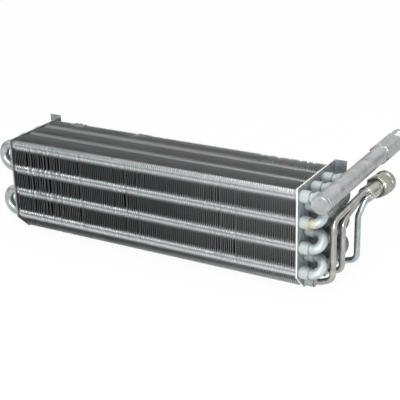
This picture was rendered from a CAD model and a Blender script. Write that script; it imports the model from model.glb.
# %% [markdown]
# # An evaporator core, dressed in Blender
# The core is a block of thin folded fins on rows of tube, between two end plates. Refrigerant
# enters through a three-way distributor at the right, boils in the tubes and leaves through the
# thick suction manifold. The CAD model holds every piece at its real size. This lesson gives the
# pieces the surfaces, the bent fins and the solder that a used one shows.

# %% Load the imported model
import math
import random

import bmesh
import bpy
from mathutils import Matrix, Vector


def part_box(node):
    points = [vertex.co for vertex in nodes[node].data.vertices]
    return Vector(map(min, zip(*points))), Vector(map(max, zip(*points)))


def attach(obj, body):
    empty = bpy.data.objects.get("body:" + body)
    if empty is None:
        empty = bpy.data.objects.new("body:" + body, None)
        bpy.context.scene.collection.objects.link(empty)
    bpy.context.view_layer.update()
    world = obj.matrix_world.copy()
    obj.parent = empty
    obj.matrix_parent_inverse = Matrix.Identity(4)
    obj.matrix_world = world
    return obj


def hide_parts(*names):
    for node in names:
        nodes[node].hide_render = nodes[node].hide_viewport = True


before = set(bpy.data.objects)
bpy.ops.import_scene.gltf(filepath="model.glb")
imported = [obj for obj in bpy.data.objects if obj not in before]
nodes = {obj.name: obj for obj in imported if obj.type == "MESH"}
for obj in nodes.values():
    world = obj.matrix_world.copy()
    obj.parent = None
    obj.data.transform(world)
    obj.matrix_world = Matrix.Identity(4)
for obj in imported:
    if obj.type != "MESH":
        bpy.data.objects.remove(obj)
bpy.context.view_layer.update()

# %% [markdown]
# Sizes here are written in millimetres, from one corner of the core: X from the outer face of the
# left end plate, Y from the front edges of the fins, Z from the plates' feet. One function turns
# them into Blender's metres, so a size can be compared with a drawing of the real core.

# %% The corner of the core, and the sizes that repeat
core_length, core_depth = 329.3, 76.2
plate_thickness, tube_radius = 1.5, 4.76
row_pitch, column_step = 25.4, 12.7
columns, rows = 6, 4
fin_foot, fin_top, fin_chamfer = 1.3, 102.9, 15.5
plate_low, plate_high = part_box("end_plate_left")
core_corner = Vector((plate_high.x - plate_thickness / 1000, plate_low.y, 0.0))


def at(x, y, z):
    return core_corner + Vector((x, y, z)) / 1000


def column_y(column):
    return (column + 0.5) * column_step


def row_z(column, row):
    return fin_top - row_pitch / 4 - (column % 2) * row_pitch / 2 - row * row_pitch


print("corner of the core", [round(v, 4) for v in core_corner])

# %% [markdown]
# ## The camera
# The camera's place comes from the core itself: the tubes have a standard size and pitch, so the
# corners of the block give the distance, the three angles and the lens. A long lens well to the
# right and a little above keeps the long edges almost parallel.

# %% Camera
picture_width, focal_length_in_pixels = 400, 1020.853
turn, tilt, roll = 0.529, 0.389, -0.029
stand = at(679.867, -773.023, 443.628)
camera_data = bpy.data.cameras.new("camera")
camera_data.sensor_width = 36
camera_data.lens = focal_length_in_pixels / picture_width * camera_data.sensor_width
camera = bpy.data.objects.new("camera", camera_data)
bpy.context.scene.collection.objects.link(camera)
bpy.context.scene.camera = camera

backward = Vector((math.sin(turn) * math.cos(tilt), -math.cos(turn) * math.cos(tilt),
                   math.sin(tilt)))
sideways = Vector((math.cos(turn), math.sin(turn), 0))
upright = backward.cross(sideways)
right = sideways * math.cos(roll) + upright * math.sin(roll)
up = upright * math.cos(roll) - sideways * math.sin(roll)
camera.matrix_world = Matrix((
    (right.x, up.x, backward.x, stand.x),
    (right.y, up.y, backward.y, stand.y),
    (right.z, up.z, backward.z, stand.z),
    (0, 0, 0, 1)))
print("camera at", [round(v, 3) for v in stand], "lens", round(camera_data.lens, 1))

# %% [markdown]
# ## Helpers for materials
# Colours are written as they look on a screen, and one function turns them to linear light. One
# more adds a node with its settings and links: a name that starts with a small letter is one of
# the node's own settings, and one with a capital is an input. Patterns are sized in millimetres.

# %% Colours and nodes


def linear(hex_code):
    channels = [int(hex_code[i:i + 2], 16) / 255 for i in (1, 3, 5)]
    return [c / 12.92 if c <= 0.04045 else ((c + 0.055) / 1.055) ** 2.4 for c in channels] + [1.0]


def add(tree, kind, *ordered, stops=(), **named):
    node = tree.nodes.new(kind)
    for name, value in named.items():
        if name[0].islower():
            setattr(node, name, value)
    pairs = list(zip([s for s in node.inputs if s.enabled], ordered))
    pairs += [(node.inputs[name.replace("_", " ")], value)
              for name, value in named.items() if name[0].isupper()]
    for socket, value in pairs:
        if isinstance(value, bpy.types.Node):
            value = next(s for s in value.outputs if s.enabled)
        if isinstance(value, bpy.types.NodeSocket):
            tree.links.new(value, socket)
        elif value is not None:
            is_colour = isinstance(value, str) and value[:1] == "#"
            socket.default_value = linear(value) if is_colour else value
    for n, (position, hex_code) in enumerate(stops):
        if n >= len(node.color_ramp.elements):
            node.color_ramp.elements.new(position)
        node.color_ramp.elements[n].position = position
        node.color_ramp.elements[n].color = linear(hex_code)
    return node


def per_mm(size):
    """The scale of a pattern whose spots are about this many millimetres wide."""
    return 1000 / size


def new_finish(name):
    """An empty material: itself, its tree, and the place on the piece that patterns follow."""
    material = bpy.data.materials.new(name)
    material.use_nodes = True
    tree = material.node_tree
    tree.nodes.clear()
    return material, tree, add(tree, "ShaderNodeTexCoord").outputs["Object"]


print("helpers ready")

# %% [markdown]
# ## Rolled aluminium: the fins
# Fin stock is soft aluminium, rolled to about a fifth of a millimetre, so it is slightly streaked
# along the rolling direction. Little light is left between the fins, so the sheet is a deep grey,
# and handling dulls some fins more than others. The fin's number is kept on the mesh as an
# attribute, and gives each fin its own shade.

# %% Sheet of the fins
fin_finish, tree, place = new_finish("rolled_aluminium_fin")
number = add(tree, "ShaderNodeAttribute", attribute_name="fin").outputs["Fac"]
own_shade = add(tree, "ShaderNodeTexWhiteNoise", number, noise_dimensions="1D").outputs["Value"]
stretched = add(tree, "ShaderNodeMapping", place, Scale=(1.0, 1.0, 0.12))
streak = add(tree, "ShaderNodeTexNoise", stretched, Scale=per_mm(3), Detail=4.0)
dull = add(tree, "ShaderNodeTexNoise", place, Scale=per_mm(28), Detail=3.0)
metal = add(tree, "ShaderNodeValToRGB", streak, stops=((0.3, "#565A5A"), (0.7, "#6E7272")))
uneven = add(tree, "ShaderNodeMath", own_shade, 0.35, operation="MULTIPLY")
shaded = add(tree, "ShaderNodeMix", uneven, metal, "#484B4B", data_type="RGBA")
cover = add(tree, "ShaderNodeMapRange", dull, 0.42, 0.7, 0.0, 0.5)
tinted = add(tree, "ShaderNodeMix", cover, shaded, "#585957", data_type="RGBA")
print("sheet of", fin_finish.name)

# %% [markdown]
# ### Distance from the nearest tube
# Each hole for a tube has a rolled rim that nearly fills the gap to the next fin, so every row of
# tubes reads as two bright lines with a duller middle. The rims aren't modelled: the finish
# brightens the sheet round each tube instead. Columns are 12.7 mm apart and staggered by as much,
# so two divisions and a wrap say how far any point is from the nearest tube, counted in cells of
# 12.7 mm.

# %% Place of a point in its cell
cell = column_step / 1000
spot = add(tree, "ShaderNodeSeparateXYZ", place).outputs
deep = add(tree, "ShaderNodeMath", spot["Y"], core_corner.y, operation="SUBTRACT")
below = add(tree, "ShaderNodeMath", fin_top / 1000, spot["Z"], operation="SUBTRACT")
across = add(tree, "ShaderNodeMath", deep, cell, operation="DIVIDE")
down = add(tree, "ShaderNodeMath", below, cell, operation="DIVIDE")
whole_columns = add(tree, "ShaderNodeMath", across, operation="FLOOR")
part_of_column = add(tree, "ShaderNodeMath", across, operation="FRACT")
off_column = add(tree, "ShaderNodeMath", part_of_column, 0.5, operation="SUBTRACT")
below_first = add(tree, "ShaderNodeMath", down, 0.5, operation="SUBTRACT")
unstaggered = add(tree, "ShaderNodeMath", below_first, whole_columns, operation="SUBTRACT")
off_row = add(tree, "ShaderNodeMath", unstaggered, 1.0, -1.0, operation="WRAP")
offset = add(tree, "ShaderNodeCombineXYZ", off_row, off_column)
off_tube = add(tree, "ShaderNodeVectorMath", offset, operation="LENGTH").outputs["Value"]
print("tube radius in cells", round(tube_radius / column_step, 3))

# %% [markdown]
# ### Rims, lip and cut edges
# A rim ends about a fifth of a cell past its tube, and is trimmed above the tubes of the front
# column. A duller lip runs along the top of the front. The cut edges of a sheet are told from its
# faces by the direction that they face, and are brightest where they face up. The top of the pack
# is open to the room, so the upper 18 mm of the sheets are paler. The open top and the cut edges
# are both brighter towards the connection end.

# %% Rims round the tubes
rim_full, rim_end = 0.44, 0.55
above_full, above_end = -0.29, -0.36
lip_depth, lip_height = 0.009, 0.0036
round_tube = add(tree, "ShaderNodeMapRange", off_tube, rim_full, rim_end, 1.0, 0.0)
not_above = add(tree, "ShaderNodeMapRange", off_row, above_end, above_full, 0.0, 1.0)
past_front = add(tree, "ShaderNodeMath", deep, cell, operation="GREATER_THAN")
kept = add(tree, "ShaderNodeMath", not_above, past_front, operation="MAXIMUM")
rim = add(tree, "ShaderNodeMath", round_tube, kept, operation="MULTIPLY")
lifted = add(tree, "ShaderNodeMath", off_row, 0.07, operation="ADD")
from_middle = add(tree, "ShaderNodeMath", lifted, operation="ABSOLUTE")
outer = add(tree, "ShaderNodeMapRange", from_middle, 0.03, 0.15, 0.0, 1.0)
rim_metal = add(tree, "ShaderNodeMix", outer, "#9DA3A3", "#DEE2E1", data_type="RGBA")
in_front = add(tree, "ShaderNodeMath", deep, lip_depth, operation="LESS_THAN")
at_top = add(tree, "ShaderNodeMath", below, lip_height, operation="LESS_THAN")
lip = add(tree, "ShaderNodeMath", in_front, at_top, operation="MULTIPLY")
rolled = add(tree, "ShaderNodeMix", lip, rim_metal, "#7D7B7E", data_type="RGBA")
print("rims", rim_full * column_step, "to", rim_end * column_step, "mm from a tube's axis")

# %% Open top and cut edges
open_height, lip_fade = 0.018, (0.006, 0.012)
normal = add(tree, "ShaderNodeNewGeometry").outputs["True Normal"]
facing = add(tree, "ShaderNodeSeparateXYZ", normal).outputs
along_x = add(tree, "ShaderNodeMath", facing["X"], operation="ABSOLUTE")
cut = add(tree, "ShaderNodeMath", along_x, 0.3, operation="LESS_THAN")
upward = add(tree, "ShaderNodeMath", facing["Z"], 0.5, operation="GREATER_THAN")
to_right = add(tree, "ShaderNodeMapRange", spot["X"], at(150, 0, 0).x, at(325, 0, 0).x, 0.0, 1.0)
edge_metal = add(tree, "ShaderNodeMix", to_right, "#858888", "#B4B7B6", data_type="RGBA")
cut_metal = add(tree, "ShaderNodeMix", upward, edge_metal, "#CDD0CF", data_type="RGBA")
open_top = add(tree, "ShaderNodeMapRange", below, 0.0, open_height, 1.0, 0.0)
right_share = add(tree, "ShaderNodeMapRange", to_right, 0.0, 1.0, 0.55, 1.0)
behind_lip = add(tree, "ShaderNodeMapRange", deep, *lip_fade, 0.3, 1.0)
pale = add(tree, "ShaderNodeMath", open_top, right_share, operation="MULTIPLY")
paler = add(tree, "ShaderNodeMath", pale, behind_lip, operation="MULTIPLY")
aired = add(tree, "ShaderNodeMix", paler, tinted, "#BEC0BD", data_type="RGBA")
print("sheets are paler over the upper", open_height * 1000, "mm")

# %% Finish of the fins
rimmed = add(tree, "ShaderNodeMix", rim, aired, rolled, data_type="RGBA")
edged = add(tree, "ShaderNodeMix", cut, rimmed, cut_metal, data_type="RGBA")
most_of_rim = add(tree, "ShaderNodeMath", rim, 0.75, operation="MULTIPLY")
bright = add(tree, "ShaderNodeMath", cut, most_of_rim, operation="MAXIMUM")
sheen = add(tree, "ShaderNodeMapRange", bright, 0.0, 1.0, 1.0, 0.3)
gloss = add(tree, "ShaderNodeMapRange", dull, 0.3, 0.7, 0.3, 0.4)
grain = add(tree, "ShaderNodeBump", Height=streak, Distance=0.00002)
shader = add(tree, "ShaderNodeBsdfPrincipled", Base_Color=edged, Metallic=sheen, Roughness=gloss,
             Normal=grain)
add(tree, "ShaderNodeOutputMaterial", shader)
print(fin_finish.name, "has", len(tree.nodes), "nodes")

# %% [markdown]
# ## One fin
# A fin is a sheet folded between every two columns of tubes, with a hole for each tube. Tubes of
# neighbouring columns are staggered, so the fin is a chequerboard of 12.7 mm cells, and every
# other cell has a hole. The mesh follows that: a cell with a hole is a ring of twelve faces, a
# plain one a grid of nine. Building it by rule keeps 140 fins light enough to bend one by one.

# %% Fold and cells of a fin
fold_depth, sheet_half = 3.8, 0.115
cells = 2 * rows
third, bottom = column_step / 3, 3 * cells
around_cell = [(3, 2), (3, 1), (3, 0), (2, 0), (1, 0), (0, 0), (0, 1), (0, 2), (0, 3), (1, 3),
               (2, 3), (3, 3)]


def fold_at(y):
    column = min(int(y / column_step), columns - 1)
    crest = fold_depth / 2 * (1 if column % 2 == 0 else -1)
    return crest * (1 - 2 * (y / column_step - column))


def cell_faces(column, cell, corners):
    """Faces of one cell as keys of points, whose places in Y and Z go into corners."""
    left, top = 3 * column, 3 * cell

    def corner(i, j):
        y, z = i * third, fin_top - j * third
        short = max(0.0, fin_chamfer - y - (z - fin_foot))
        back = 0 if i == 0 else 1 if j == bottom else 0.5
        lift = 0 if j == bottom else 1 if i == 0 else 0.5
        corners[i, j] = (y + short * back, z + short * lift)
        return i, j

    if (column + cell) % 2:
        quads = [[corner(left + i, top + j + 1), corner(left + i + 1, top + j + 1),
                  corner(left + i + 1, top + j), corner(left + i, top + j)]
                 for i in range(3) for j in range(3)]
        if (column, cell) == (0, cells - 1):
            reach = [q[1][0] - left + (3 - q[1][1] + top) for q in quads]
            quads = [q if r > 3 else q[1:] for q, r in zip(quads, reach) if r >= 3]
        return quads
    outer = [corner(left + i, top + j) for i, j in around_cell]
    reach = tube_radius / math.cos(math.radians(15))
    ring = [("hole", column, cell, k) for k in range(12)]
    for k, key in enumerate(ring):
        angle = math.radians(30 * k - 15)
        corners[key] = (column_y(column) + reach * math.cos(angle),
                        fin_top - (cell + 0.5) * column_step + reach * math.sin(angle))
    return [[outer[k], outer[(k + 1) % 12], ring[(k + 1) % 12], ring[k]] for k in range(12)]


print("a fin has", columns, "by", cells, "cells")

# %% Mesh of one fin


def fin_sheet_mesh():
    corners, faces = {}, []
    for column in range(columns):
        for cell in range(cells):
            faces += cell_faces(column, cell, corners)
    order = sorted({key for face in faces for key in face}, key=str)
    index = {key: n for n, key in enumerate(order)}
    points = [Vector((fold_at(corners[key][0]) + side, *corners[key])) / 1000
              for side in (sheet_half, -sheet_half) for key in order]
    out, edges = [], set()
    for face in faces:
        ids = [index[key] for key in face]
        out += [ids, [n + len(order) for n in reversed(ids)]]
        edges.update(zip(ids, ids[1:] + ids[:1]))
    out += [[b, a, a + len(order), b + len(order)]
            for a, b in sorted(edges) if (b, a) not in edges]
    mesh = bpy.data.meshes.new("one_fin")
    mesh.from_pydata(points, [], out)
    return mesh


one_fin = bpy.data.objects.new("one_fin", fin_sheet_mesh())
bpy.context.scene.collection.objects.link(one_fin)
print(len(one_fin.data.polygons), "faces in a fin")

# %% [markdown]
# ## The pack of fins, with Geometry Nodes
# A press stamps the fins one after another and slides them onto the tubes, so the pack is one fin
# repeated at an even pitch, with small errors. The tree does the same: a line of points, a fin on
# each, a slight turn by chance, and a gentle ripple of the sheet. The named inputs are the sizes
# that a maker would change.

# %% Helpers for Geometry Nodes


def tree_with_inputs(name, *inputs):
    """An empty tree with named inputs: the tree, its input sockets, and each identifier."""
    tree = bpy.data.node_groups.new(name, "GeometryNodeTree")
    for way in ("INPUT", "OUTPUT"):
        tree.interface.new_socket("Geometry", in_out=way, socket_type="NodeSocketGeometry")
    names = {}
    for label, kind, value in inputs:
        socket = tree.interface.new_socket(label, in_out="INPUT", socket_type="NodeSocket" + kind)
        if value is not None:
            socket.default_value = value
        names[label] = socket.identifier
    return tree, add(tree, "NodeGroupInput").outputs, names


def settle(host, tree, names, **values):
    """Runs the tree on the host and returns a plain object, with no modifier."""
    modifier = host.modifiers.new("nodes", "NODES")
    modifier.node_group = tree
    for label, value in values.items():
        modifier[names[label.replace("_", " ")]] = value
    bpy.context.view_layer.update()
    evaluated = host.evaluated_get(bpy.context.evaluated_depsgraph_get())
    piece = bpy.data.objects.new(host.name, bpy.data.meshes.new_from_object(evaluated))
    bpy.data.objects.remove(host)
    bpy.context.scene.collection.objects.link(piece)
    return piece


print("two helpers for trees")

# %% Geometry Nodes tree of the fin pack
fin_pitch, fin_start = 2.31, 4.105
fin_turn, fin_ripple, ripple_width = 0.0035, 0.0008, 22
pack, given, pack_inputs = tree_with_inputs(
    "fin_pack", ("Fin", "Object", None), ("Fins", "Int", 70), ("Pitch", "Float", fin_pitch / 1000),
    ("First fin", "Float", fin_start / 1000), ("First number", "Int", 0),
    ("Turn", "Float", fin_turn), ("Ripple", "Float", fin_ripple), ("Seed", "Int", 5),
    ("Finish", "Material", None))
start = add(pack, "ShaderNodeCombineXYZ", X=given["First fin"])
stride = add(pack, "ShaderNodeCombineXYZ", X=given["Pitch"])
line = add(pack, "GeometryNodeMeshLine", mode="OFFSET", Count=given["Fins"], Start_Location=start,
           Offset=stride)
shape = add(pack, "GeometryNodeObjectInfo", given["Fin"]).outputs["Geometry"]
most = add(pack, "ShaderNodeVectorMath", (0.0, 0.35, 1.0), given["Turn"], operation="SCALE")
least = add(pack, "ShaderNodeVectorMath", most, -1.0, operation="SCALE")
chance = add(pack, "FunctionNodeRandomValue", least, most, data_type="FLOAT_VECTOR",
             Seed=given["Seed"])
placed = add(pack, "GeometryNodeInstanceOnPoints", line, Instance=shape, Rotation=chance)
counted = add(pack, "GeometryNodeInputIndex")
own_number = add(pack, "ShaderNodeMath", counted, given["First number"], operation="ADD")
numbered = add(pack, "GeometryNodeStoreNamedAttribute", placed, None, "fin", own_number,
               data_type="FLOAT", domain="INSTANCE")
real = add(pack, "GeometryNodeRealizeInstances", numbered)
which = add(pack, "GeometryNodeInputNamedAttribute", "fin", data_type="FLOAT")
where = add(pack, "ShaderNodeSeparateXYZ", add(pack, "GeometryNodeInputPosition")).outputs
flat = add(pack, "ShaderNodeCombineXYZ", Y=where["Y"], Z=where["Z"])
wave = add(pack, "ShaderNodeTexNoise", flat, W=which, Scale=per_mm(ripple_width), Detail=1.0,
           noise_dimensions="4D")
centred = add(pack, "ShaderNodeMath", wave, 0.5, operation="SUBTRACT")
push = add(pack, "ShaderNodeMath", centred, given["Ripple"], operation="MULTIPLY")
shift = add(pack, "ShaderNodeCombineXYZ", X=push)
rippled = add(pack, "GeometryNodeSetPosition", real, Offset=shift)
finished = add(pack, "GeometryNodeSetMaterial", rippled, Material=given["Finish"])
add(pack, "NodeGroupOutput", finished)
print("fin pack tree with", len(pack.nodes), "nodes")

# %% [markdown]
# ## Bent fins
# Thin fins bend at a touch. On this core a group near the left has its front edges knocked over, a
# few stand up along the top rear edge, and the top rear corner by the right plate is badly combed.
# Each rule below names the fins it strikes, the edge of the sheet that gives way, and how far. A
# seeded die picks the fins, so every run bends the same ones. The pack is made in two halves, to
# keep each mesh a fair size.

# %% Rules for the bent fins
bends = [
    # first fin, last fin, share struck, edge, from, to, reach of the bend, push in X, drop
    (6, 26, 0.75, "front", 32, 96, 4.8, 1.4, 0.0),
    (27, 40, 0.25, "front", 10, 90, 4.5, -1.2, 0.0),
    (12, 60, 0.10, "front", 20, 100, 4.5, 1.3, 0.0),
    (60, 136, 0.08, "front", 10, 105, 4.5, 1.1, 0.0),
    (10, 17, 0.80, "top", 66, 77, 5.0, 1.9, -1.5),
    (45, 52, 0.70, "top", 66, 77, 5.0, 1.7, -1.0),
    (94, 97, 1.00, "top", 9, 17, 3.0, 1.4, 0.5),
    (108, 139, 0.40, "top", 60, 77, 4.0, 1.1, 0.8),
    (122, 139, 0.35, "top", 8, 56, 3.0, 1.0, 0.5),
    (30, 112, 0.12, "top", 40, 77, 4.4, 1.1, 0.3),
    (14, 40, 0.50, "bottom", 12, 40, 5.0, 1.7, 0.0),
    (4, 136, 0.10, "rear", 8, 100, 4.5, 1.2, 0.0),
]
forward_share, backward_size = 0.72, -0.6


def strikes_by_fin():
    die = random.Random(11)
    strikes = {}
    for first, last, share, edge, low, high, reach, push, drop in bends:
        for fin in range(first, last + 1):
            if die.random() < share:
                size = push * die.uniform(0.45, 1.0)
                size *= 1 if die.random() < forward_share else backward_size
                strikes.setdefault(fin, []).append(
                    (edge, low, high, reach, size, drop * die.uniform(0.2, 1),
                     die.uniform(low, high)))
    return strikes


print(len(strikes_by_fin()), "fins are struck")

# %% Bend the fins, and set both halves of the pack
fade, dent_width = 6, 16


def bend_fins(mesh):
    strikes = strikes_by_fin()
    fin_of = mesh.attributes["fin"].data
    for vertex in mesh.vertices:
        x, y, z = vertex.co * 1000
        fin = round(fin_of[vertex.index].value)
        depths = {"front": y, "top": fin_top - z, "bottom": z - fin_foot, "rear": core_depth - y}
        for edge, low, high, reach, size, drop, middle in strikes.get(fin, []):
            run = z if edge in ("front", "rear") else y
            if depths[edge] < reach and low - fade < run < high + fade:
                share = (1 - max(0, depths[edge]) / reach) ** 1.3
                share *= min(1.0, (run - low + fade) / fade, (high + fade - run) / fade)
                share *= 0.55 + 0.45 * math.exp(-((run - middle) / dent_width) ** 2)
                vertex.co += Vector((size, 0, -drop if edge == "top" else 0)) * share / 1000
    mesh.update()


def fin_half(name, first, last, *replaced):
    host = bpy.data.objects.new(name, bpy.data.meshes.new(name))
    bpy.context.scene.collection.objects.link(host)
    piece = settle(host, pack, pack_inputs, Fin=one_fin, Fins=last - first + 1,
                   Pitch=fin_pitch / 1000, First_fin=(fin_start + first * fin_pitch) / 1000,
                   First_number=first, Turn=fin_turn, Ripple=fin_ripple, Seed=5 + first,
                   Finish=fin_finish)
    bend_fins(piece.data)
    piece.data.transform(Matrix.Translation(core_corner))
    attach(piece, "root")
    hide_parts(*replaced)
    triangles = sum(len(p.vertices) - 2 for p in piece.data.polygons)
    print(name, "has", last - first + 1, "fins and", triangles, "triangles")


fin_half("fin_pack_left", 0, 69, "fins_far_left", "fins_mid_left")
fin_half("fin_pack_right", 70, 139, "fins_mid_right", "fins_far_right")
bpy.data.objects.remove(one_fin)

# %% [markdown]
# ## Sheared sheet: the end plates
# The plates are thicker sheet with a dull, bluish grey skin in cloudy patches. The shear leaves a
# narrow bright edge, which outlines the block at the right end and is duller at the left. Little
# light reaches the left plate's inner face beside the fins, so it is darker there. Edges and faces
# are told apart by the direction that they face and by their place.

# %% Faces and edges of the end plates
plate_finish, tree, place = new_finish("sheared_aluminium_plate")
front_zone, left_zone = 0.03, 0.004
normal = add(tree, "ShaderNodeNewGeometry").outputs["True Normal"]
facing = add(tree, "ShaderNodeSeparateXYZ", normal).outputs
spot = add(tree, "ShaderNodeSeparateXYZ", place).outputs
steep = add(tree, "ShaderNodeMath", facing["Z"], operation="ABSOLUTE")
up_down = add(tree, "ShaderNodeMath", steep, 0.5, operation="GREATER_THAN")
forward = add(tree, "ShaderNodeMath", facing["Y"], -0.5, operation="LESS_THAN")
in_front = add(tree, "ShaderNodeMath", spot["Y"], core_corner.y + front_zone,
               operation="LESS_THAN")
front_edge = add(tree, "ShaderNodeMath", forward, in_front, operation="MULTIPLY")
cut_edge = add(tree, "ShaderNodeMath", up_down, front_edge, operation="MAXIMUM")
inward = add(tree, "ShaderNodeMath", facing["X"], 0.5, operation="GREATER_THAN")
at_left = add(tree, "ShaderNodeMath", spot["X"], core_corner.x + left_zone, operation="LESS_THAN")
by_fins = add(tree, "ShaderNodeMath", spot["Z"], fin_top / 1000, operation="LESS_THAN")
left_inside = add(tree, "ShaderNodeMath", inward, at_left, operation="MULTIPLY")
shaded_face = add(tree, "ShaderNodeMath", left_inside, by_fins, operation="MULTIPLY")
print("faces of", plate_finish.name)

# %% Finish of the end plates
clouds = add(tree, "ShaderNodeTexNoise", place, Scale=per_mm(11), Detail=5.0, Roughness=0.6,
             Distortion=0.6)
skin = add(tree, "ShaderNodeValToRGB", clouds,
           stops=((0.3, "#6E7376"), (0.48, "#8F9599"), (0.72, "#A4AAAE")))
darkened = add(tree, "ShaderNodeMix", shaded_face, skin, "#4A4D4E", data_type="RGBA")
edge_colour = add(tree, "ShaderNodeMix", at_left, "#E4E6E4", "#878A8B", data_type="RGBA")
edged = add(tree, "ShaderNodeMix", cut_edge, darkened, edge_colour, data_type="RGBA")
gloss = add(tree, "ShaderNodeMapRange", cut_edge, 0.0, 1.0, 0.52, 0.3)
pits = add(tree, "ShaderNodeTexNoise", place, Scale=per_mm(2), Detail=3.0)
grain = add(tree, "ShaderNodeBump", Height=pits, Distance=0.00003)
shader = add(tree, "ShaderNodeBsdfPrincipled", Base_Color=edged, Metallic=0.4, Roughness=gloss,
             Normal=grain)
add(tree, "ShaderNodeOutputMaterial", shader)
print(plate_finish.name, "has", len(tree.nodes), "nodes")

# %% [markdown]
# ## Tubes: drawn aluminium, flux and smoke
# The tubes are drawn, so they are satin and smooth. Between the plates they are bright with a
# duller middle, like the rims round them, and duller from the second column back. Near the brazed
# joints at the right end they carry a white, powdery bloom of flux that is rough and not metallic,
# its border broken by a patchy noise. Outside the right plate the rear columns are smoked below the
# top row, and the second socket of the front column has a yellow stain.

# %% Parts of the tubes' finish
flux_start = at(core_length - 4, 0, 0).x
stained_joint = at(core_length + 10.5, 4, row_z(0, 1) - 2)
shine_tilt = 0.22


def between_plates(tree, spot, metal, inner):
    """The metal between the plates: inner is its colour on both sides of the duller middle."""
    normal = add(tree, "ShaderNodeNewGeometry").outputs["Normal"]
    height = add(tree, "ShaderNodeSeparateXYZ", normal).outputs["Z"]
    tilted = add(tree, "ShaderNodeMath", height, shine_tilt, operation="SUBTRACT")
    steep = add(tree, "ShaderNodeMath", tilted, operation="ABSOLUTE")
    band = add(tree, "ShaderNodeMapRange", steep, 0.08, 0.36, 0.0, 1.0)
    polished = add(tree, "ShaderNodeMix", band, "#B2B8B8", inner, data_type="RGBA")
    behind = add(tree, "ShaderNodeMapRange", spot["Y"], at(0, 13, 0).y, at(0, 16, 0).y, 0.0, 1.0)
    duller = add(tree, "ShaderNodeMix", behind, polished, "#8F9596", data_type="RGBA")
    past_left = add(tree, "ShaderNodeMath", spot["X"], at(1, 0, 0).x, operation="GREATER_THAN")
    before_right = add(tree, "ShaderNodeMath", spot["X"], at(core_length - 1, 0, 0).x,
                       operation="LESS_THAN")
    within = add(tree, "ShaderNodeMath", past_left, before_right, operation="MULTIPLY")
    return add(tree, "ShaderNodeMix", within, metal, duller, data_type="RGBA")


def smoke_and_stain(tree, place, spot, patch, fluxed):
    behind = add(tree, "ShaderNodeMapRange", spot["Y"], at(0, 11, 0).y, at(0, 16, 0).y, 0.0, 0.72)
    lower = add(tree, "ShaderNodeMath", spot["Z"], at(0, 0, fin_top - 13).z, operation="LESS_THAN")
    outside = add(tree, "ShaderNodeMath", spot["X"], flux_start, operation="GREATER_THAN")
    sockets = add(tree, "ShaderNodeMath", lower, outside, operation="MULTIPLY")
    smoke = add(tree, "ShaderNodeMath", behind, sockets, operation="MULTIPLY")
    smoked = add(tree, "ShaderNodeMix", smoke, fluxed, "#4E5154", data_type="RGBA")
    away = add(tree, "ShaderNodeVectorMath", place, tuple(stained_joint), operation="DISTANCE")
    near = add(tree, "ShaderNodeMapRange", away.outputs["Value"], 0.013, 0.004, 0.0, 0.75)
    patchy = add(tree, "ShaderNodeMath", patch, near, operation="MULTIPLY")
    stain = add(tree, "ShaderNodeMapRange", patchy, 0.16, 0.34, 0.0, 0.9)
    return add(tree, "ShaderNodeMix", stain, smoked, "#ABAA93", data_type="RGBA")


print("flux starts at X", round(flux_start, 4))

# %% Finishes of the tubes


def tube_finish(name, dark, light, flux, flux_from, flux_full, most, inner=None):
    material, tree, place = new_finish(name)
    spot = add(tree, "ShaderNodeSeparateXYZ", place).outputs
    patch = add(tree, "ShaderNodeTexNoise", place, Scale=per_mm(5), Detail=4.0, Roughness=0.6,
                Distortion=0.4)
    powder = add(tree, "ShaderNodeTexNoise", place, Scale=per_mm(0.9), Detail=3.0)
    metal = add(tree, "ShaderNodeValToRGB", patch, stops=((0.3, dark), (0.7, light)))
    if inner:
        metal = between_plates(tree, spot, metal, inner)
    near = add(tree, "ShaderNodeMapRange", spot["X"], flux_from, flux_full, 0.0, most)
    ragged = add(tree, "ShaderNodeMath", patch, 0.7, near, operation="MULTIPLY_ADD")
    bloom = add(tree, "ShaderNodeMapRange", ragged, 0.45, 0.95, 0.0, 0.92)
    fluxed = add(tree, "ShaderNodeMix", bloom, metal, flux, data_type="RGBA")
    colour = smoke_and_stain(tree, place, spot, patch, fluxed)
    sheen = add(tree, "ShaderNodeMapRange", bloom, 0.0, 1.0, 0.85, 0.15)
    gloss = add(tree, "ShaderNodeMapRange", bloom, 0.0, 1.0, 0.3, 0.5)
    height = add(tree, "ShaderNodeMath", powder, bloom, operation="MULTIPLY")
    crust = add(tree, "ShaderNodeBump", Height=height, Distance=0.00012, Strength=0.8)
    shader = add(tree, "ShaderNodeBsdfPrincipled", Base_Color=colour, Metallic=sheen,
                 Roughness=gloss, Normal=crust)
    add(tree, "ShaderNodeOutputMaterial", shader)
    return material


all_fluxed = (flux_start - 0.05, flux_start)
core_tube = tube_finish("drawn_aluminium_tube", "#969C9C", "#B6BCBC", "#A5AEAF",
                        flux_start, flux_start + 0.003, 0.6, "#F8FAFA")
bend_tube = tube_finish("fluxed_aluminium_bend", "#7E8486", "#A0A6A8", "#AEB7B8", *all_fluxed, 0.5)
branch_tube = tube_finish("fluxed_aluminium_branch", "#8F9698", "#A8AEB0", "#AFB7B9",
                          *all_fluxed, 0.6)
solder_finish = tube_finish("solder_fillet", "#767C7E", "#8F9596", "#9AA1A3", *all_fluxed, 0.35)
print(core_tube.name, bend_tube.name, branch_tube.name, solder_finish.name)

# %% [markdown]
# ## The manifold: heat marks and flux
# The manifold is thicker drawn tube, with fine lines along it. Torch heat has left cloudy marks,
# and flux has run round the collars that hold the branches, on the side of the core.

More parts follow.
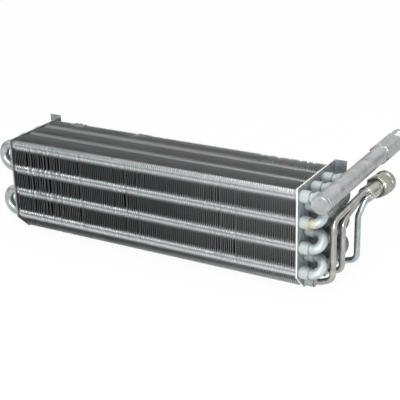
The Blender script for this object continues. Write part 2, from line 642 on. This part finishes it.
# %% Finish of the manifold
collar_side = (at(core_length + 19.5, 0, 0).x, at(core_length + 15, 0, 0).x)
collar_end = (at(0, 75, 0).y, at(0, 58, 0).y)
manifold_finish, tree, place = new_finish("drawn_aluminium_manifold")
heat = add(tree, "ShaderNodeTexNoise", place, Scale=per_mm(16), Detail=4.0, Roughness=0.6,
           Distortion=1.0)
lengthwise = add(tree, "ShaderNodeMapping", place, Scale=(1.0, 0.08, 1.0))
drawn = add(tree, "ShaderNodeTexNoise", lengthwise, Scale=per_mm(1.2), Detail=3.0)
body = add(tree, "ShaderNodeValToRGB", heat,
           stops=((0.3, "#8E8D8D"), (0.5, "#A3A5A5"), (0.7, "#B3B7B7")))
spot = add(tree, "ShaderNodeSeparateXYZ", place).outputs
inward = add(tree, "ShaderNodeMapRange", spot["X"], *collar_side, 0.0, 0.8)
collars = add(tree, "ShaderNodeMapRange", spot["Y"], *collar_end, 0.0, 1.0)
joint = add(tree, "ShaderNodeMath", inward, collars, operation="MULTIPLY")
powder = add(tree, "ShaderNodeMath", heat, 0.5, joint, operation="MULTIPLY_ADD")
bloom = add(tree, "ShaderNodeMapRange", powder, 0.34, 0.76, 0.0, 0.9)
colour = add(tree, "ShaderNodeMix", bloom, body, "#AAB8B9", data_type="RGBA")
sheen = add(tree, "ShaderNodeMapRange", bloom, 0.0, 1.0, 0.7, 0.08)
gloss = add(tree, "ShaderNodeMapRange", heat, 0.3, 0.7, 0.32, 0.48)
lines = add(tree, "ShaderNodeBump", Height=drawn, Distance=0.00003, Strength=0.7)
shader = add(tree, "ShaderNodeBsdfPrincipled", Base_Color=colour, Metallic=sheen, Roughness=gloss,
             Normal=lines)
add(tree, "ShaderNodeOutputMaterial", shader)
print(manifold_finish.name, "has", len(tree.nodes), "nodes")

# %% [markdown]
# ## Feed tubes, fitting and nut
# The feed tubes are soft tube with a warm grey oxide skin, and the third is brighter. The threaded
# fitting is turned, so it has fine rings round its axis. The nut is plated and handled, with a
# greenish tint. The finishes share one recipe, whose pattern can be squeezed along an axis.

# %% Finishes of the feed tubes, the fitting and the nut
even, along_turning = (1, 1, 1), (0.05, 1, 0.05)


def metal_finish(name, colours, metallic, gloss_range, patch_mm, grain_mm, squeeze, depth):
    material, tree, place = new_finish(name)
    patch = add(tree, "ShaderNodeTexNoise", place, Scale=per_mm(patch_mm), Detail=4.0,
                Roughness=0.6)
    skin = add(tree, "ShaderNodeValToRGB", patch, stops=colours)
    gloss = add(tree, "ShaderNodeMapRange", patch, 0.3, 0.7, *gloss_range)
    squeezed = add(tree, "ShaderNodeMapping", place, Scale=squeeze)
    tooling = add(tree, "ShaderNodeTexNoise", squeezed, Scale=per_mm(grain_mm), Detail=2.0)
    grain = add(tree, "ShaderNodeBump", Height=tooling, Distance=depth / 1000, Strength=0.7)
    shader = add(tree, "ShaderNodeBsdfPrincipled", Base_Color=skin, Metallic=metallic,
                 Roughness=gloss, Normal=grain)
    add(tree, "ShaderNodeOutputMaterial", shader)
    return material


feed_finish = metal_finish(
    "soft_aluminium_feed_tube", ((0.3, "#93928E"), (0.7, "#B7B6B1")), 0.88, (0.24, 0.36),
    9, 1.4, even, 0.04)
bright_feed_finish = metal_finish(
    "bright_aluminium_feed_tube", ((0.3, "#98A1A4"), (0.7, "#B9C2C5")), 0.9, (0.2, 0.3),
    9, 1.4, even, 0.03)
fitting_finish = metal_finish(
    "turned_aluminium_fitting", ((0.3, "#8B8E8F"), (0.7, "#B3B5B5")), 0.92, (0.2, 0.34),
    6, 0.7, along_turning, 0.03)
nut_finish = metal_finish(
    "plated_steel_nut", ((0.3, "#82827A"), (0.55, "#9C9C92"), (0.75, "#ADADA2")), 0.9, (0.2, 0.38),
    7, 1.0, even, 0.03)
print(feed_finish.name, bright_feed_finish.name, fitting_finish.name, nut_finish.name)

# %% [markdown]
# ## Smooth tubes from the CAD
# The CAD pieces arrive as loose triangles with flat faces. On a tube every face would catch the
# light on its own, so each piece is copied, its double points are merged and the copy is shaded
# smooth, except over its real edges. The copy then stands for the CAD piece, at the same place.

# %% Smooth copies of the CAD pieces
merge_distance, tube_crease = 2e-6, math.radians(32)


def smooth_copy(node, name, finish):
    mesh = bpy.data.meshes.new(name)
    shape = bmesh.new()
    shape.from_mesh(nodes[node].data)
    bmesh.ops.remove_doubles(shape, verts=shape.verts, dist=merge_distance)
    for face in shape.faces:
        face.smooth, face.material_index = True, 0
    for edge in shape.edges:
        edge.smooth = len(edge.link_faces) == 2 and edge.calc_face_angle(0) < tube_crease
    shape.to_mesh(mesh)
    shape.free()
    mesh.materials.append(finish)
    piece = bpy.data.objects.new(name, mesh)
    bpy.context.scene.collection.objects.link(piece)
    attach(piece, "root")
    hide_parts(node)


copies = (
    # start of the node's name, start of the copy's name, finish, slot
    ("feed_tube_1", "feeder_1", feed_finish, "feed_tube"),
    ("feed_tube_2", "feeder_2", feed_finish, "feed_tube"),
    ("feed_tube_3", "feeder_3", bright_feed_finish, "feed_tube"),
    ("hairpin_", "tube_", core_tube, "core_tube"),
    ("return_bend_", "u_bend_", bend_tube, "fluxed_tube"),
    ("suction_branch_", "branch_", branch_tube, "fluxed_tube"),
    ("suction_manifold", "manifold_tube", manifold_finish, "manifold_tube"),
    ("manifold_cap", "manifold_end_cap", manifold_finish, "manifold_tube"),
    ("distributor", "distributor_body", feed_finish, "fitting_metal"),
)
for old, new, finish, slot in copies:
    for node in sorted(nodes):
        if node.startswith(old):
            smooth_copy(node, new + node.removeprefix(old), finish)
for node in ("end_plate_left", "end_plate_right"):
    nodes[node].data.materials.clear()
    nodes[node].data.materials.append(plate_finish)
print("copies made, and the end plates have their finish")

# %% [markdown]
# ## Threaded pieces
# A thread is a ridge that climbs one pitch for each turn. The radius at any point depends only on
# the place along the axis and the angle round it, so the whole fitting can be made of rings whose
# points sit at a worked-out radius. The same rule cuts the hexagon: a point lies on the nearer of
# the flat and the turned outline.

# %% Radius of a hexagon and of a thread


def hexagon(across_flats, outline, twist=0):
    """Radius of a hexagonal bar with its corners turned off at the outline."""
    def radius(angle):
        from_flat = math.radians((angle + twist + 30) % 60 - 30)
        return min(across_flats / 2 / math.cos(from_flat), outline)
    return radius


def thread(start, end, pitch, radius, depth, fade_in, fade_out):
    """Rings for a thread that fades at its ends. A negative depth cuts a bore."""
    rings = []
    steps = round((end - start) / pitch * 6)
    for step in range(steps + 1):
        along = start + (end - start) * step / steps
        fade = max(0, min(1, (along - start) / fade_in, (end - along) / fade_out))

        def reach(angle, along=along, fade=fade):
            phase = (along / pitch - angle / 360) % 1
            ridge = min(1, max(0, (0.5 - abs(phase - 0.5)) * 2.6 - 0.4))
            return radius - depth * fade * (1 - ridge)
        rings.append((along, reach))
    return rings


print("hexagon and thread ready")

# %% A closed piece from rings round an axis
sides, turned_crease = 72, math.radians(28)


def turned(name, base, direction, rings, finish, slot, *replaced):
    """A ring is (place along the axis, radius), and the radius is a number or a function of the
    angle. The last ring joins the first."""
    side = Vector((0, 0, 1)).cross(direction).normalized()
    lift = Vector(direction).cross(side)
    points = []
    for along, radius in rings:
        for k in range(sides):
            angle = 360 * k / sides
            reach = radius(angle) if callable(radius) else radius
            out = side * math.cos(math.radians(angle)) + lift * math.sin(math.radians(angle))
            points.append(base + (direction * along + out * reach) / 1000)
    count = len(rings)
    faces = [(r * sides + k, r * sides + (k + 1) % sides,
              (r + 1) % count * sides + (k + 1) % sides, (r + 1) % count * sides + k)
             for r in range(count) for k in range(sides)]
    mesh = bpy.data.meshes.new(name)
    mesh.from_pydata(points, [], faces)
    shape = bmesh.new()
    shape.from_mesh(mesh)
    bmesh.ops.recalc_face_normals(shape, faces=shape.faces)
    for face in shape.faces:
        face.smooth = True
    for edge in shape.edges:
        edge.smooth = edge.calc_face_angle(0) < turned_crease
    shape.to_mesh(mesh)
    shape.free()
    mesh.materials.append(finish)
    piece = bpy.data.objects.new(name, mesh)
    bpy.context.scene.collection.objects.link(piece)
    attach(piece, "root")
    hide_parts(*replaced)
    print(name, len(mesh.polygons), "faces")


# %% [markdown]
# ### The suction fitting
# The fitting is turned from hexagon bar: a socket for the manifold, the long hexagon with both
# ends chamfered, a plain neck and a male thread, all round one open bore. The rings run out of the
# socket, along the outside and back through the bore.

# %% Suction fitting
low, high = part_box("suction_fitting")
fitting_base = Vector(((low.x + high.x) / 2, low.y, (low.z + high.z) / 2))
length = (high.y - low.y) * 1000
hex_length, flats, hex_twist, hex_land = 37.0, 19.8, 15, 1.5
seat_depth, seat_r, neck_r, bore_r = 8.0, 8.65, 7.7, 6.3
thread_length, thread_pitch, thread_r, thread_depth = 20, 1.6, 9.0, 0.95
end_r = flats / 2 - 0.3
bar = hexagon(flats, flats / 2 / math.cos(math.radians(30)) + 1, hex_twist)
chamfer = [(0.05 + 0.25 * n, hexagon(flats, flats / 2 + 0.05 + 0.45 * n, hex_twist))
           for n in range(4)]
fitting_rings = (
    [(seat_depth, seat_r), (0.0, seat_r), (0.0, end_r)] + chamfer
    + [(hex_land, bar), (hex_length - hex_land, bar)]
    + [(hex_length - a, r) for a, r in reversed(chamfer)]
    + [(hex_length, end_r), (hex_length, neck_r), (length - thread_length - 0.5, neck_r),
       (length - thread_length, thread_r - 0.2)]
    + thread(length - thread_length + 0.3, length - thread_pitch, thread_pitch, thread_r,
             thread_depth, thread_pitch, thread_pitch)
    + [(length, 7.2), (length, bore_r + 0.4), (length - 0.5, bore_r), (seat_depth, bore_r)])
turned("threaded_fitting", fitting_base, Vector((0, 1, 0)), fitting_rings, fitting_finish,
       "fitting_metal", "suction_fitting")

# %% [markdown]
# ### The inlet nut
# The nut is held on the distributor's tail, turned a few degrees outward with it. Beyond the
# hexagon, at the open end, is a round collar with softened edges, and the thread is inside. The
# rings go round the outside and come back through the thread.

# %% Inlet nut, with its thread inside
nut_yaw, nut_from, distributor_drop = math.radians(6), 23, 20.5
nut_flats, nut_length, nut_pitch, nut_thread_r = 20.8, 21.5, 1.6, 8.7
collar_r, collar_from, near_round, far_round = 11.3, 14.5, 1.2, 1.6
tail_r, lip_r, relief_r = 7.2, 8.2, 9.3
nut_way = Vector((math.sin(nut_yaw), math.cos(nut_yaw), 0))
distributor_place = at(core_length + 33.5, 80, fin_top - row_pitch / 4 - distributor_drop)
nut_bar = hexagon(nut_flats, nut_flats / 2 / math.cos(math.radians(30)) + 1)
chamfer = [(0.1 + 0.3 * n, hexagon(nut_flats, nut_flats / 2 - 0.3 + 0.47 * n)) for n in range(5)]


def rounded(centre, radius, parts, steps):
    """Rings for a rounded edge of the collar, centred at this place along the axis."""
    angles = [n / parts * math.pi for n in steps]
    return [(centre - radius * math.cos(a), collar_r - radius + radius * math.sin(a))
            for a in angles]


nut_rings = (
    [(5.0, tail_r), (1.4, tail_r), (1.4, lip_r), (0.0, lip_r), (0.0, nut_flats / 2 - 0.7)]
    + chamfer + [(2.0, nut_bar), (collar_from - 1.0, nut_bar)]
    + [(collar_from - 0.4, hexagon(nut_flats, collar_r - 0.6)), (collar_from, collar_r - 1.1)]
    + rounded(collar_from + near_round, near_round, 6, (1, 2, 3))
    + rounded(nut_length - far_round, far_round, 8, (4, 5, 6, 7, 8))
    + [(nut_length, 9.4), (nut_length - 0.6, 8.75)]
    + thread(9.0, nut_length - 0.7, nut_pitch, nut_thread_r, -0.75, nut_pitch, 1.0)[::-1]
    + [(8.9, relief_r), (5.0, relief_r)])
turned("captive_inlet_nut", distributor_place + nut_way * nut_from / 1000, nut_way, nut_rings,
       nut_finish, "nut_metal", "inlet_nut")

# %% [markdown]
# ## Solder fillets, with Geometry Nodes
# Solder creeps up each joint and freezes in an uneven bead. The tree puts a small ring on a point
# at every socket mouth, turns it by chance and roughens it with noise. The points come from the
# layout of the tubes, so the beads stay on their joints.

# %% Geometry Nodes tree of the solder fillets
ring_radius, bead_radius, unevenness, bead_seed = 0.0053, 0.00075, 0.0009, 3
beads, given, bead_inputs = tree_with_inputs(
    "solder_fillets", ("Ring radius", "Float", ring_radius), ("Bead radius", "Float", bead_radius),
    ("Unevenness", "Float", unevenness), ("Seed", "Int", bead_seed), ("Finish", "Material", None))
path = add(beads, "GeometryNodeCurvePrimitiveCircle", Resolution=28, Radius=given["Ring radius"])
profile = add(beads, "GeometryNodeCurvePrimitiveCircle", Resolution=8, Radius=given["Bead radius"])
ring = add(beads, "GeometryNodeCurveToMesh", path, profile)
standing = add(beads, "GeometryNodeTransform", Geometry=ring, Rotation=(0, math.pi / 2, 0))
spin = add(beads, "FunctionNodeRandomValue", 0.0, 6.28, data_type="FLOAT", Seed=given["Seed"])
around = add(beads, "ShaderNodeCombineXYZ", X=spin)
set_down = add(beads, "GeometryNodeInstanceOnPoints", given["Geometry"], Instance=standing,
               Rotation=around)
loose = add(beads, "GeometryNodeRealizeInstances", set_down)
lumps = add(beads, "ShaderNodeTexNoise", Scale=per_mm(3.5), Detail=2.0).outputs["Color"]
centred = add(beads, "ShaderNodeVectorMath", lumps, (0.5, 0.5, 0.5), operation="SUBTRACT")
moved = add(beads, "ShaderNodeVectorMath", centred, given["Unevenness"], operation="SCALE")
rough = add(beads, "GeometryNodeSetPosition", loose, Offset=moved)
soft = add(beads, "GeometryNodeSetShadeSmooth", rough)
finished = add(beads, "GeometryNodeSetMaterial", soft, Material=given["Finish"])
add(beads, "NodeGroupOutput", finished)
print("solder tree with", len(beads.nodes), "nodes")

# %% Solder at every socket mouth
mouth = core_length + 9.8
joints = [at(mouth, column_y(column), row_z(column, row))
          for column in range(columns) for row in range(rows)]
host_mesh = bpy.data.meshes.new("solder_points")
host_mesh.from_pydata(joints, [], [])
host = bpy.data.objects.new("solder_fillets", host_mesh)
bpy.context.scene.collection.objects.link(host)
solder = settle(host, beads, bead_inputs, Ring_radius=ring_radius, Bead_radius=bead_radius,
                Unevenness=unevenness, Seed=bead_seed, Finish=solder_finish)
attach(solder, "root")
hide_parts("solder_rings")
print(len(joints), "solder beads,", len(solder.data.polygons), "faces")

# %% [markdown]
# ### Seam and fillet on the manifold
# The manifold's cap is soldered in with a low seam round it, and a wider fillet runs up from the
# tube to the face of the suction fitting. Both are plain turned rings, sunk a little into the tube.

# %% Rings on the manifold
manifold_offset, manifold_front, manifold_length, manifold_r = 24.8, 12.8, 154, 8.6
cap_depth, sunk_r = 2.8, manifold_r - 0.1
manifold_start = column_y(0) - manifold_front
fitting_start = manifold_start + manifold_length - seat_depth
seam = [(0, sunk_r), (0.2, manifold_r + 0.3), (0.6, manifold_r + 0.35), (0.9, sunk_r)]
fillet = [(-1.7, sunk_r), (-1.5, manifold_r + 0.1), (-0.6, manifold_r + 0.5),
          (0.1, manifold_r + 1.2), (0.1, sunk_r)]
for name, along, rings in (("cap_seam", manifold_start + cap_depth, seam),
                           ("fitting_fillet", fitting_start, fillet)):
    turned(name, at(core_length + manifold_offset, along, row_z(0, 0)), Vector((0, 1, 0)), rings,
           solder_finish, "solder", "solder_rings")

# %% [markdown]
# ## Light and floor
# The core was photographed on white, in soft light from all round. Three broad lamps stand in for
# it: one above the front, one overhead and a low one in front at the right. The world is white for
# the camera and weaker as light. In reflections it is dark at the horizon and bright above,
# because metal in an all-white room shows no form. The floor is white to the camera and keeps a
# faint shadow under the block.

# %% World and lamps
world_light, floor_grey, ceiling_white = 0.6, 0.22, 1.15
world = bpy.data.worlds.new("studio")
bpy.context.scene.world = world
world.use_nodes = True
tree = world.node_tree
tree.nodes.clear()
ray = add(tree, "ShaderNodeLightPath").outputs
direction = add(tree, "ShaderNodeTexCoord").outputs["Generated"]
height = add(tree, "ShaderNodeSeparateXYZ", direction).outputs["Z"]
room = add(tree, "ShaderNodeMapRange", height, 0.03, 0.42, floor_grey, ceiling_white,
           interpolation_type="SMOOTHSTEP")
mirrored = add(tree, "ShaderNodeMix", ray["Is Glossy Ray"], world_light, room, data_type="FLOAT")
strength = add(tree, "ShaderNodeMix", ray["Is Camera Ray"], mirrored, 1.0, data_type="FLOAT")
background = add(tree, "ShaderNodeBackground", Color="#FFFFFF", Strength=strength)
add(tree, "ShaderNodeOutputWorld", background)

aim = Vector((0, 0, 0.05))
lamps = (
    # name, place, width, power in watts
    ("key_lamp", (0.4, -1.2, 1.3), 0.7, 13),
    ("top_lamp", (0.2, 0.2, 1.6), 0.8, 7),
    ("front_lamp", (0.75, -1.4, 0.2), 0.4, 15),
)
for name, stand, width, power in lamps:
    lamp = bpy.data.lights.new(name, "AREA")
    lamp.size, lamp.energy = width, power
    holder = bpy.data.objects.new(name, lamp)
    holder.location = stand
    holder.rotation_euler = (aim - Vector(stand)).to_track_quat("-Z", "Y").to_euler()
    bpy.context.scene.collection.objects.link(holder)
print(len(lamps), "lamps")

# %% Floor
half, floor_z, floor_white = 6, -0.0005, 0.94
floor_mesh = bpy.data.meshes.new("floor")
floor_mesh.from_pydata([(x * half, y * half, floor_z)
                        for x, y in ((-1, -1), (1, -1), (1, 1), (-1, 1))], [], [(0, 1, 2, 3)])
floor = bpy.data.objects.new("floor", floor_mesh)
bpy.context.scene.collection.objects.link(floor)
floor_finish, tree, place = new_finish("white_paper_floor")
paper = add(tree, "ShaderNodeBsdfPrincipled", Base_Color="#F2F2F2", Roughness=0.9)
glow = add(tree, "ShaderNodeEmission", "#FFFFFF", 1.0)
ray = add(tree, "ShaderNodeLightPath").outputs
seen = add(tree, "ShaderNodeMath", ray["Is Camera Ray"], ray["Is Glossy Ray"],
           operation="MAXIMUM")
share = add(tree, "ShaderNodeMath", seen, floor_white, operation="MULTIPLY")
mixed = add(tree, "ShaderNodeMixShader", share, paper, glow)
add(tree, "ShaderNodeOutputMaterial", mixed)
floor_mesh.materials.append(floor_finish)
bpy.context.scene.view_settings.view_transform = "Standard"
print("light and floor ready")
